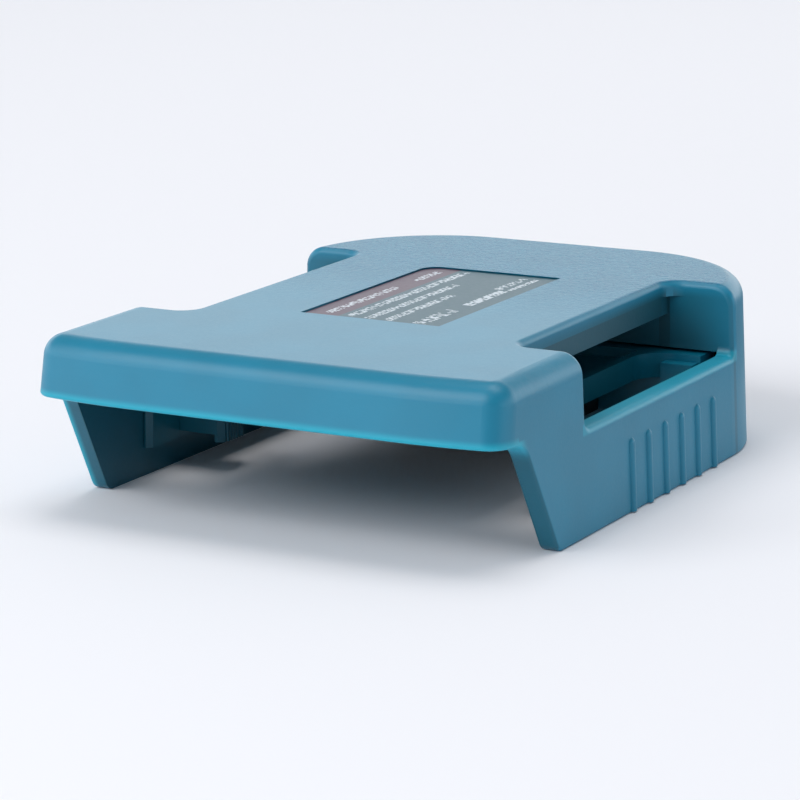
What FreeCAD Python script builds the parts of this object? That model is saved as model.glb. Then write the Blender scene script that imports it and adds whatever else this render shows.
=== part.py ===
import FreeCAD, Part
import math
import os

import Sketcher
from FreeCAD import Placement, Rotation, Vector

# Slide-on adapter that turns an 18 V slide battery into a USB power bank.
# Frame: +Z up with the foot of the skirts at 0, the battery slides in along +Y
# from the open nose at -Y, and the outlets are in the rounded end at +Y.

doc = FreeCAD.newDocument("battery_power_adapter")
sheet = doc.addObject("Spreadsheet::Sheet", "sizes")

DRIVING_SIZES = [
    ("foot_width", 80.0, "width over the skirts at the foot"),
    ("body_length", 103.4, "from the nose's lower edge to the foot of the outlet end"),
    ("body_height", 27.0, "foot to roof"),
    ("side_draft", 0.035, "inward lean of the walls for each mm of height"),
    ("nose_lean", 0.18, "backward lean of the nose for each mm of height"),
    ("shell_wall", 2.9, "skirts and end wall"),
    ("roof_wall", 2.4, "roof plate"),
    ("top_round", 3.4, "edge round of the roof"),
    ("end_flat", 28.0, "straight stretch of the outlet end, at the foot"),
    ("nose_corner", 3.9, "plan corner of the nose"),
    ("nose_bow", 100.0, "large plan radius that draws the nose's sides back"),
    ("nose_flat", 44.0, "straight stretch of the nose"),
    ("nose_sill", 18.0, "height of the nose's lower edge"),
    ("leg_setback", 17.1, "from the nose edge back to the front of the skirts' foot"),
    ("leg_slope", 0.515, "forward run of the skirts' front edge for each mm of height"),
    ("leg_round", 5.0, "corner between the skirts' front edge and the nose"),
    ("toe_round", 2.0, "corner at the skirts' front foot"),
    ("slot_setback", 26.9, "from the nose edge back to the side slot"),
    ("slot_inset", 24.2, "from the outlet end's foot to the side slot"),
    ("bridge_width", 55.6, "roof left between the two slots"),
    ("bridge_skirt", 5.4, "height of the bridge's edge flanges, roof included"),
    ("bridge_wall", 2.2, "thickness of the bridge's edge flanges"),
    ("sill_height", 15.75, "height of the slots' lower rim"),
    ("slot_corner", 3.0, "plan corner at the bridge's roots"),
    ("slot_round", 1.0, "edge round of the slots"),
    ("sill_corner", 1.5, "corner between the slots' rim and their end walls"),
    ("mouth_round", 0.45, "outer edge round of the mouth and the foot"),
    ("bulkhead_foot", 16.2, "height of the lower edge of the cross walls"),
    ("rib_count", 6, "grip ribs on a side"),
    ("rib_pitch", 5.79, "spacing of the grip ribs"),
    ("rib_setback", 41.3, "from the nose edge back to the first rib"),
    ("rib_foot", 0.2, "height at which the grip ribs start"),
    ("rib_height", 11.4, "height of the grip ribs"),
    ("rib_radius", 0.9, "radius of a grip rib"),
    ("rib_proud", 0.5, "how far a grip rib stands out"),
    ("label_width", 23.9, "label recess, across"),
    ("label_length", 40.0, "label recess, along"),
    ("label_setback", 33.3, "from the nose edge back to the label recess"),
    ("label_depth", 0.45, "depth of the label recess"),
    ("label_corner", 3.0, "round corner of the label recess"),
    ("port_width", 36.0, "outlet window, across"),
    ("port_height", 12.0, "outlet window, up"),
    ("port_centre", 12.5, "height of the outlets' centre line"),
    ("port_corner", 2.5, "corners of the outlet window"),
    ("boss_radius", 3.3, "screw bosses under the roof"),
    ("pilot_depth", 9.0, "depth of the pilot holes"),
    ("rear_screw_margin", 11.0, "screws at the outlet end, from the skirts' outside at the foot"),
    ("rear_screw_inset", 17.0, "screws at the outlet end, from the end's foot"),
    ("front_screw_x", 17.0, "screws under the bridge, from the middle"),
    ("front_screw_inset", 10.0, "screws under the bridge, behind the slots' front"),
    ("floor_foot", 0.8, "height of the lower moulding's underside"),
    ("floor_plate", 2.2, "floor of the outlet end's compartment"),
    ("tray_foot", 11.8, "height of the tray's underside"),
    ("tray_plate", 2.2, "floor of the tray"),
    ("screw_pad", 2.2, "plastic clamped under a housing screw"),
    ("screw_pad_radius", 4.3, "pads round the screws at the outlet end"),
    ("seat_gap", 0.15, "clearance between mouldings that seat"),
    ("bulkhead_inset", 26.2, "from the outlet end's foot to the lower moulding's cross wall"),
    ("bulkhead_wall", 1.8, "thickness of that cross wall"),
    ("bulkhead_gap", 1.3, "from the inside of the skirts at the foot to that cross wall"),
    ("band_top", 15.7, "top of the band on the cross wall and of the tray's rim"),
    ("band_depth", 5.2, "band, front to back"),
    ("band_gap", 2.7, "from the inside of the skirts at the foot to the band"),
    ("band_plate", 2.5, "thickness of the band"),
    ("tray_width", 50.0, "tray, across"),
    ("tray_setback", 29.5, "from the nose edge back to the tray"),
    ("tray_rim", 1.4, "wall round the tray"),
    ("tray_curve", 5.0, "plan curve between the tray's side and the cross wall"),
    ("arm_setback", 26.6, "from the nose edge back to the rail arms"),
    ("arm_foot", 4.5, "height of the arms' lower edge"),
    ("arm_top", 14.0, "height of the arms' upper edge"),
    ("arm_wall", 1.1, "thickness of the arms"),
    ("rail_gauge", 63.0, "between the two rails"),
    ("rail_foot", 5.6, "height of the rails' underside"),
    ("rail_top", 9.0, "height of the rails' upper face"),
    ("rail_setback", 34.8, "from the nose edge back to the rails"),
    ("rail_round", 0.8, "front outer corner of a rail"),
    ("guide_foot", 4.4, "height of the guide blocks' lower lip"),
    ("guide_lip", 1.4, "width of that lip"),
    ("guide_gauge", 55.4, "between the guide blocks at the rails' noses"),
    ("guide_length", 7.2, "length of a guide block"),
    ("guide_chamfer", 0.9, "chamfers of the guide blocks and rail stops"),
    ("ridge_pitch", 0.8, "spacing of the ridges on a guide block"),
    ("ridge_count", 6, "ridges on a guide block"),
    ("ridge_radius", 0.3, "radius of those ridges"),
    ("stop_gauge", 57.2, "between the rail stops at the cross wall"),
    ("stop_gap", 3.1, "from the inside of the skirts at the foot to the rail stops"),
    ("stop_length", 2.4, "rail stops, along"),
    ("stop_top", 14.6, "height of the rail stops"),
    ("standoff_radius", 2.6, "pillars that carry the circuit board"),
    ("board_foot", 8.0, "height of the circuit board's underside"),
    ("board_plate", 1.6, "thickness of the circuit board"),
    ("board_margin", 16.0, "from the skirts' outside at the foot to the circuit board"),
    ("board_inset", 20.2, "from the outlet end's foot to the circuit board"),
    ("board_length", 12.5, "circuit board, along"),
    ("board_screw_margin", 3.0, "board screws, from the circuit board's sides"),
    ("board_screw_inset", 4.5, "board screws, behind the board's front edge"),
    ("bezel_inset", 1.8, "from the outlet end's foot to the outer face of the outlet bezel"),
    ("bezel_plate", 2.6, "bezel, inside the window"),
    ("bezel_flange", 1.2, "flange behind the window"),
    ("bezel_lip", 1.2, "how far the flange reaches past the window"),
    ("port_recess", 0.3, "outlets behind the bezel's face"),
    ("port_gap", 0.12, "clearance of the outlets in the bezel"),
    ("large_port_x", 8.5, "large outlet, from the middle"),
    ("large_port_width", 13.1, "large outlet, across"),
    ("large_port_height", 5.72, "large outlet, up"),
    ("large_port_length", 14.0, "large outlet, along"),
    ("small_port_x", 4.5, "small outlet, from the middle"),
    ("small_port_width", 8.94, "small outlet, across"),
    ("small_port_height", 3.2, "small outlet, up"),
    ("small_port_length", 7.3, "small outlet, along"),
    ("button_x", 14.6, "push button, from the middle"),
    ("button_radius", 2.4, "push button"),
    ("button_proud", 0.7, "how far the button stands out of the bezel"),
    ("button_travel", 0.8, "travel of the button"),
    ("button_gap", 0.08, "running clearance of the button in its hole"),
    ("plunger_radius", 1.0, "plunger of the switch"),
    ("plunger_gap", 0.05, "running clearance of the plunger"),
    ("switch_size", 5.5, "switch body, across and up"),
    ("switch_depth", 2.7, "switch body, along"),
    ("light_x", 10.4, "light pipe, from the middle"),
    ("light_radius", 0.9, "light pipe"),
    ("light_length", 5.8, "light pipe, along"),
    ("blade_x", 11.5, "battery blades, from the middle"),
    ("blade_wall", 0.8, "thickness of a blade"),
    ("blade_foot", 6.4, "height of a blade's lower edge"),
    ("blade_height", 4.6, "height of a blade"),
    ("blade_reach", 12.0, "blade in front of the terminal block"),
    ("block_width", 34.0, "terminal block, across"),
    ("block_length", 15.5, "terminal block, along"),
    ("block_foot", 5.5, "height of the terminal block's underside"),
    ("block_round", 1.0, "upright corners of the terminal block"),
    ("block_screw_x", 6.0, "terminal block's screws, from the middle"),
    ("lead_radius", 0.9, "insulated leads"),
    ("lead_bend", 2.3, "bend radius of the leads"),
    ("shank_radius", 1.1, "housing screws"),
    ("shank_length", 9.0, "housing screws under the head"),
    ("head_radius", 2.5, "head of a housing screw"),
    ("head_height", 1.6, "head of a housing screw"),
    ("small_shank_radius", 0.9, "small screws"),
    ("small_shank_length", 6.0, "small screws under the head"),
    ("small_head_radius", 1.9, "head of a small screw"),
    ("small_head_height", 1.2, "head of a small screw"),
    ("thread_gap", 0.05, "clearance of a screw in its pilot hole"),
    ("hole_gap", 0.25, "clearance of a screw in the piece it clamps"),
    ("film_plate", 0.2, "thickness of the label film"),
]

for row, (alias, value, note) in enumerate(DRIVING_SIZES, start=1):
    sheet.set("A%d" % row, alias.replace("_", " "))
    sheet.set("B%d" % row, repr(value))
    sheet.setAlias("B%d" % row, alias)
    sheet.set("C%d" % row, note)
doc.recompute()


class Size:
    """A length with its number now and the sheet formula that binds it."""

    def __init__(self, number, formula):
        self.number = float(number)
        self.formula = formula

    @staticmethod
    def of(value):
        if isinstance(value, Size):
            return value
        return Size(value, repr(float(value)))

    def __add__(self, other):
        other = Size.of(other)
        return Size(self.number + other.number, "(%s + %s)" % (self.formula, other.formula))

    def __sub__(self, other):
        other = Size.of(other)
        return Size(self.number - other.number, "(%s - %s)" % (self.formula, other.formula))

    def __mul__(self, other):
        other = Size.of(other)
        return Size(self.number * other.number, "(%s * %s)" % (self.formula, other.formula))

    def __truediv__(self, other):
        other = Size.of(other)
        return Size(self.number / other.number, "(%s / %s)" % (self.formula, other.formula))

    def __radd__(self, other):
        return Size.of(other) + self

    def __rsub__(self, other):
        return Size.of(other) - self

    def __rmul__(self, other):
        return Size.of(other) * self

    def __rtruediv__(self, other):
        return Size.of(other) / self

    def __neg__(self):
        return Size.of(0) - self


def root(value):
    """Square root of a size."""
    return Size(math.sqrt(value.number), "sqrt(%s)" % value.formula)


def cell(alias):
    return Size(getattr(sheet, alias), "sizes." + alias)


def bind(thing, prop, value):
    """Gives a property its number and its formula."""
    value = Size.of(value)
    if "." not in prop and "[" not in prop:
        kind = type(getattr(thing, prop))
        setattr(thing, prop, int(value.number) if kind is int else value.number)
    thing.setExpression(prop, value.formula)


def new_body(label):
    body = doc.addObject("PartDesign::Body", label)
    body.Label = label
    return body


def origin_part(body, role):
    return next(f for f in body.Origin.OriginFeatures if f.Role == role)


def new_sketch(body, name, plane, level):
    sketch = body.newObject("Sketcher::SketchObject", name)
    sketch.AttachmentSupport = [(origin_part(body, plane), "")]
    sketch.MapMode = "FlatFace"
    level = Size.of(level)
    sketch.AttachmentOffset = Placement(Vector(0, 0, level.number), Rotation())
    sketch.setExpression("AttachmentOffset.Base.z", level.formula)
    return sketch


def hold(sketch, kind, number_of, *ends):
    """Adds a signed distance or radius constraint that follows the sheet."""
    value = Size.of(number_of)
    index = sketch.addConstraint(Sketcher.Constraint(kind, *ends, value.number))
    sketch.setExpression("Constraints[%d]" % index, value.formula)


def arc_between(start, end, radius, turn):
    """Minor arc from start to end, as counter-clockwise geometry, and whether it was reversed."""
    chord = end - start
    middle = (start + end) / 2
    rise = math.sqrt(max(radius ** 2 - chord.Length ** 2 / 4, 0))
    left = Vector(-chord.y, chord.x, 0).normalize()
    centre = middle + left * rise * turn
    first, last = (start, end) if turn > 0 else (end, start)
    angles = [math.atan2(p.y - centre.y, p.x - centre.x) for p in (first, last)]
    circle = Part.Circle(centre, Vector(0, 0, 1), radius)
    return Part.ArcOfCircle(circle, *angles), turn < 0


def add_loop(sketch, corners):
    """Draws a closed outline. A corner is (x, y), or (x, y, radius, turn) where an arc
    leaves it for the next corner, turning left for +1 and right for -1."""
    points = [Vector(Size.of(c[0]).number, Size.of(c[1]).number, 0) for c in corners]
    edges = []
    for i, corner in enumerate(corners):
        start, end = points[i], points[(i + 1) % len(points)]
        if len(corner) > 2:
            geometry, swapped = arc_between(start, end, Size.of(corner[2]).number, corner[3])
        else:
            geometry, swapped = Part.LineSegment(start, end), False
        index = sketch.addGeometry(geometry, False)
        edges.append((index, 2, 1) if swapped else (index, 1, 2))
    for i, corner in enumerate(corners):
        index, first, last = edges[i]
        following, next_first, _ = edges[(i + 1) % len(edges)]
        sketch.addConstraint(Sketcher.Constraint("Coincident", index, last, following, next_first))
        hold(sketch, "DistanceX", corner[0], -1, 1, index, first)
        hold(sketch, "DistanceY", corner[1], -1, 1, index, first)
        if len(corner) > 2:
            hold(sketch, "Radius", corner[2], index)
    return sketch


def outline(body, name, corners, plane="XY_Plane", level=0):
    return add_loop(new_sketch(body, name, plane, level), corners)


def box_corners(x_low, x_high, y_low, y_high):
    return [(x_low, y_low), (x_high, y_low), (x_high, y_high), (x_low, y_high)]


def add_circle(sketch, x, y, radius):
    index = sketch.addGeometry(Part.Circle(
        Vector(Size.of(x).number, Size.of(y).number, 0), Vector(0, 0, 1), Size.of(radius).number), False)
    hold(sketch, "DistanceX", x, -1, 1, index, 3)
    hold(sketch, "DistanceY", y, -1, 1, index, 3)
    hold(sketch, "Radius", radius, index)


def extrude(body, kind, name, sketch, length, backwards=False, midplane=False):
    """Pad or Pocket of a sketch."""
    feature = body.newObject("PartDesign::" + kind, name)
    feature.Profile = sketch
    bind(feature, "Length", length)
    feature.Midplane = midplane
    feature.Reversed = backwards
    doc.recompute()
    return feature


def pad(body, name, sketch, length, **options):
    return extrude(body, "Pad", name, sketch, length, **options)


def pocket(body, name, sketch, length, **options):
    before = body.Shape.Volume
    feature = extrude(body, "Pocket", name, sketch, length, **options)
    if not body.Shape.Volume < before - 1e-6:
        raise RuntimeError(name + " cuts nothing")
    return feature


def edges_where(shape, test):
    return ["Edge%d" % i for i, edge in enumerate(shape.Edges, start=1) if test(edge)]


def dress(body, kind, name, size, test):
    """Fillet or Chamfer on the edges of the body that pass the test."""
    base = body.Tip
    names = edges_where(base.Shape, test)
    if not names:
        raise RuntimeError(name + " finds no edge")
    feature = body.newObject("PartDesign::" + kind, name)
    feature.Base = (base, names)
    bind(feature, "Radius" if kind == "Fillet" else "Size", size)
    doc.recompute()
    if feature.Shape.isNull() or not feature.isValid():
        raise RuntimeError(name + " has no shape")
    return feature


def fillet(body, name, size, test):
    return dress(body, "Fillet", name, size, test)


def near(value, target, slack=0.02):
    return abs(value - Size.of(target).number) < slack


def spans(edge, axis, target, slack=0.02):
    """Whether the whole edge lies at one value along an axis."""
    box = edge.BoundBox
    low, high = getattr(box, axis + "Min"), getattr(box, axis + "Max")
    return near(low, target, slack) and near(high, target, slack)


foot_width, body_length, body_height = cell("foot_width"), cell("body_length"), cell("body_height")
side_draft, nose_lean = cell("side_draft"), cell("nose_lean")
shell_wall, roof_wall = cell("shell_wall"), cell("roof_wall")
nose_sill = cell("nose_sill")
nose_edge = -body_length / 2
end_foot = body_length / 2
bezel_face = end_foot - cell("bezel_inset")
end_corner = (foot_width - cell("end_flat")) / 2


def cavity_corners(inset):
    """Plan at the foot of the shell's hollow."""
    half = foot_width / 2 - inset
    rear = end_foot - inset
    front = nose_edge + inset - side_draft * nose_sill
    flat = cell("nose_flat") / 2
    end_round = end_corner - inset
    bow = cell("nose_bow") - inset
    corner = cell("nose_corner") - inset
    corner_x = half - corner
    bow_y = front + bow
    corner_y = bow_y - root((bow - corner) * (bow - corner) - (corner_x - flat) * (corner_x - flat))
    share = bow / (bow - corner)
    meet_x = flat + (corner_x - flat) * share
    meet_y = bow_y + (corner_y - bow_y) * share
    return [
        (-flat, front), (flat, front, bow, 1), (meet_x, meet_y, corner, 1), (half, corner_y),
        (half, rear - end_round, end_round, 1), (half - end_round, rear),
        (-half + end_round, rear, end_round, 1), (-half, rear - end_round),
        (-half, corner_y, corner, 1), (-meet_x, meet_y, bow, 1),
    ]


def flank_corners(front):
    """Plan at the foot of the flanks and the outlet end, with a square front."""
    half = foot_width / 2
    end_round = end_corner
    return [
        (-half, front), (half, front),
        (half, end_foot - end_round, end_round, 1), (half - end_round, end_foot),
        (-half + end_round, end_foot, end_round, 1), (-half, end_foot - end_round),
    ]


def nose_corners(front, bow, reach, ahead):
    """Plan of the space ahead of the bowed nose."""
    flat = cell("nose_flat") / 2
    back = front + bow - root(bow * bow - (reach - flat) * (reach - flat))
    return [
        (-reach, ahead), (reach, ahead), (reach, back, bow, -1), (flat, front),
        (-flat, front, bow, -1), (-reach, back),
    ]


def mouth_corners(ahead, below):
    """Side view of the space cut away under the nose, with round toe and round inner corner."""
    slope = cell("leg_slope")
    leg_foot = nose_edge + cell("leg_setback")
    leg_top = leg_foot - slope * nose_sill
    lean = root(slope * slope + 1)
    sine, cosine = slope / lean, 1 / lean
    toe, throat = cell("toe_round"), cell("leg_round")
    toe_run = toe * cosine / (1 + sine)
    throat_run = throat * cosine / (1 + sine)
    return [
        (ahead, below), (leg_foot + toe_run, below), (leg_foot + toe_run, 0, toe, -1),
        (leg_foot - toe_run * sine, toe_run * cosine),
        (leg_top + throat_run * sine, nose_sill - throat_run * cosine, throat, 1),
        (leg_top - throat_run, nose_sill), (ahead, nose_sill),
    ]


def slot_corners(side, reach):
    """Plan of a side slot, open outwards, with round corners at the bridge's roots."""
    inner, corner = cell("bridge_width") / 2, cell("slot_corner")
    low, high = slot_near, slot_far
    loop = [
        (inner + corner, low), (reach, low), (reach, high), (inner + corner, high, corner, 1),
        (inner, high - corner), (inner, low + corner, corner, 1),
    ]
    if side > 0:
        return loop
    return [
        (-inner - corner, high), (-reach, high), (-reach, low), (-inner - corner, low, corner, 1),
        (-inner, low + corner), (-inner, high - corner, corner, 1),
    ]


def set_taper(feature, slope):
    """Leans the walls of a pad or pocket inwards by a slope."""
    bind(feature, "TaperAngle", Size(
        -math.degrees(math.atan(slope.number)), "(0 - atan(%s) / 1 deg)" % slope.formula))
    doc.recompute()
    return feature


def add_grip_ribs(body):
    """Half-round upright ribs on both flanks, domed on top and leaning with the wall."""
    radius, proud, height = cell("rib_radius"), cell("rib_proud"), cell("rib_height")
    lean = root(side_draft * side_draft + 1)
    sine, cosine = side_draft / lean, 1 / lean
    foot_z = cell("rib_foot")
    foot_x = foot_width / 2 + (proud - radius) / cosine - foot_z * side_draft
    rise = (height - radius - foot_z) / cosine
    tip_x, tip_z = foot_x - rise * sine, foot_z + rise * cosine
    first = nose_edge + cell("rib_setback")
    ribs = []
    for side, name in ((1, "right"), (-1, "left")):
        half = outline(body, name + "_rib_half", [
            (side * foot_x, foot_z), (side * (foot_x + radius * cosine), foot_z + radius * sine),
            (side * (tip_x + radius * cosine), tip_z + radius * sine, radius, side),
            (side * (tip_x - radius * sine), tip_z + radius * cosine),
        ], plane="XZ_Plane", level=-first)
        rib = body.newObject("PartDesign::Revolution", name + "_rib")
        rib.Profile = half
        rib.ReferenceAxis = (half, ["Edge4"])
        rib.Angle = 360
        doc.recompute()
        ribs.append(rib)
    row = body.newObject("PartDesign::LinearPattern", "rib_rows")
    row.Originals = ribs
    row.Direction = (origin_part(body, "Y_Axis"), [""])
    bind(row, "Occurrences", cell("rib_count"))
    bind(row, "Length", cell("rib_pitch") * (cell("rib_count") - 1))
    body.Tip = row
    doc.recompute()


def round_box(x_low, x_high, y_low, y_high, corner):
    """A rectangle with round corners."""
    return [
        (x_low + corner, y_low), (x_high - corner, y_low, corner, 1),
        (x_high, y_low + corner), (x_high, y_high - corner, corner, 1),
        (x_high - corner, y_high), (x_low + corner, y_high, corner, 1),
        (x_low, y_high - corner), (x_low, y_low + corner, corner, 1),
    ]


def on_slot_rim(edge, sill, sill_x, crown_x):
    """Whether an edge is on the outer rim of a side slot."""
    box = edge.BoundBox
    reach = max(abs(box.XMin), abs(box.XMax))
    if spans(edge, "Z", body_height):
        return box.YMin > slot_near.number - 0.1 and box.YMax < slot_far.number + 0.1
    if box.ZMax < (sill + cell("sill_corner")).number + 0.1:
        return reach > sill_x.number - 0.2 and box.ZMin > sill.number - 0.1 and box.XLength < 1
    on_wall = spans(edge, "Y", slot_near) or spans(edge, "Y", slot_far)
    return on_wall and reach > crown_x.number


slot_near = nose_edge + cell("slot_setback")
slot_far = end_foot - cell("slot_inset")
roof_inside = body_height - roof_wall
seat_gap = cell("seat_gap")
floor_top = cell("floor_foot") + cell("floor_plate")
pad_top = floor_top + cell("screw_pad")
tray_top = cell("tray_foot") + cell("tray_plate")
rear_screw_y = end_foot - cell("rear_screw_inset")
front_screw_y = slot_near + cell("front_screw_inset")
rear_screws = [(side * (foot_width / 2 - cell("rear_screw_margin")), rear_screw_y) for side in (-1, 1)]
front_screws = [(side * cell("front_screw_x"), front_screw_y) for side in (-1, 1)]


def make_upper_housing():
    """Teal shell: roof, nose, skirts with side slots, grip ribs and the outlet end."""
    body = new_body("upper_housing")
    spare = 8.0
    half = foot_width / 2
    flanks = outline(body, "flanks", flank_corners(nose_edge - spare))
    set_taper(pad(body, "skin", flanks, body_height), side_draft)
    front = nose_edge + nose_lean * (body_height - nose_sill)
    space = outline(body, "nose_plan", nose_corners(
        front, cell("nose_bow"), half + spare, nose_edge - 3 * spare), level=body_height)
    set_taper(pocket(body, "nose_face", space, body_height), nose_lean)
    fillet(body, "nose_corner_round", cell("nose_corner"), lambda e: (
        near(e.BoundBox.ZLength, body_height) and e.BoundBox.YMax < 0
        and max(abs(e.BoundBox.XMin), abs(e.BoundBox.XMax)) > half.number - 1))
    fillet(body, "roof_edge_round", cell("top_round"), lambda e: spans(e, "Z", body_height))

    hollow = outline(body, "hollow_plan", cavity_corners(shell_wall))
    set_taper(pocket(body, "hollow", hollow, roof_inside, backwards=True), side_draft)

    bury = roof_wall / 2
    wall_x = half - shell_wall - side_draft * cell("bulkhead_foot") + 0.3
    bridge_half, bridge_wall = cell("bridge_width") / 2, cell("bridge_wall")
    walls = new_sketch(body, "cross_wall_plan", "XY_Plane", body_height - bury)
    add_loop(walls, box_corners(bridge_half - bridge_wall, wall_x, slot_near - shell_wall, slot_near))
    add_loop(walls, box_corners(-wall_x, -bridge_half + bridge_wall, slot_near - shell_wall, slot_near))
    add_loop(walls, box_corners(-wall_x, wall_x, slot_far, slot_far + shell_wall))
    pad(body, "cross_walls", walls, body_height - bury - cell("bulkhead_foot"), backwards=True)
    flanges = new_sketch(body, "bridge_flange_plan", "XY_Plane", body_height - bury)
    add_loop(flanges, box_corners(bridge_half - bridge_wall, bridge_half, slot_near - bury, slot_far + bury))
    add_loop(flanges, box_corners(-bridge_half, -bridge_half + bridge_wall, slot_near - bury, slot_far + bury))
    pad(body, "bridge_flanges", flanges, cell("bridge_skirt") - bury, backwards=True)

    mouth = outline(body, "mouth_side", mouth_corners(nose_edge - spare, Size.of(-spare)), plane="YZ_Plane")
    pocket(body, "mouth", mouth, foot_width + 2 * spare, midplane=True)

    slots = new_sketch(body, "slot_plan", "XY_Plane", body_height)
    add_loop(slots, slot_corners(1, half + spare))
    add_loop(slots, slot_corners(-1, half + spare))
    sill, sill_corner = cell("sill_height"), cell("sill_corner")
    pocket(body, "side_slots", slots, body_height - sill - sill_corner)
    sills = outline(body, "sill_side", [
        (slot_near + sill_corner, sill), (slot_far - sill_corner, sill, sill_corner, 1),
        (slot_far, sill + sill_corner), (slot_near, sill + sill_corner, sill_corner, 1),
    ], plane="YZ_Plane")
    pocket(body, "sills", sills, foot_width + 2 * spare, midplane=True)
    sill_x = half - side_draft * sill
    crown_x = half - side_draft * body_height - cell("top_round")
    fillet(body, "slot_edge_round", cell("slot_round"), lambda e: on_slot_rim(e, sill, sill_x, crown_x))
    fillet(body, "mouth_edge_round", cell("mouth_round"), lambda e: (
        spans(e, "Z", nose_sill) and e.BoundBox.YMax < nose_edge.number + 0.1))
    add_grip_ribs(body)

    label_half, label_near = cell("label_width") / 2, nose_edge + cell("label_setback")
    label_far, label_corner = label_near + cell("label_length"), cell("label_corner")
    recess = outline(body, "label_plan", [
        (-label_half, label_near), (label_half, label_near), (label_half, label_far),
        (-label_half + label_corner, label_far, label_corner, 1), (-label_half, label_far - label_corner),
    ], level=body_height)
    pocket(body, "label_recess", recess, cell("label_depth"))

    for name, centres, seat in (("rear", rear_screws, pad_top), ("front", front_screws, tray_top)):
        foot = seat + seat_gap
        bosses = new_sketch(body, name + "_boss_plan", "XY_Plane", body_height - bury)
        pilots = new_sketch(body, name + "_pilot_plan", "XY_Plane", foot)
        for x, y in centres:
            add_circle(bosses, x, y, cell("boss_radius"))
            add_circle(pilots, x, y, cell("shank_radius") + cell("thread_gap"))
        pad(body, name + "_bosses", bosses, body_height - bury - foot, backwards=True)
        pocket(body, name + "_pilots", pilots, cell("pilot_depth"), backwards=True)

    window = outline(body, "window_plan", round_box(
        -cell("port_width") / 2, cell("port_width") / 2,
        cell("port_centre") - cell("port_height") / 2, cell("port_centre") + cell("port_height") / 2,
        cell("port_corner")), plane="XZ_Plane", level=-end_foot - spare)
    pocket(body, "outlet_window", window, spare + shell_wall * 2.5, backwards=True)
    return body


board_top = cell("board_foot") + cell("board_plate")
board_near = end_foot - cell("board_inset")
board_screw_x = foot_width / 2 - cell("board_margin") - cell("board_screw_margin")
board_screws = [(side * board_screw_x, board_near + cell("board_screw_inset")) for side in (-1, 1)]
bulkhead_near = end_foot - cell("bulkhead_inset")
bulkhead_far = bulkhead_near + cell("bulkhead_wall")
block_near = bulkhead_near - seat_gap - cell("block_length")
block_screws = [(side * cell("block_screw_x"), block_near + cell("block_length") / 2) for side in (-1, 1)]
block_top = cell("tray_foot") - seat_gap
blade_middle = cell("blade_foot") + cell("blade_height") / 2
tail_top = board_top
tail_foot = tail_top - 1.8
port_face = bezel_face - cell("port_recess")
solder = cell("thread_gap")
large_port_z = board_top + solder + cell("large_port_height") / 2
small_port_z = board_top + solder + cell("small_port_height") / 2
button_z = board_top + solder + cell("switch_size") / 2
light_z = board_top + solder + cell("light_radius") + 0.1
bezel_back = bezel_face - cell("bezel_plate") - cell("bezel_flange")


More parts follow.
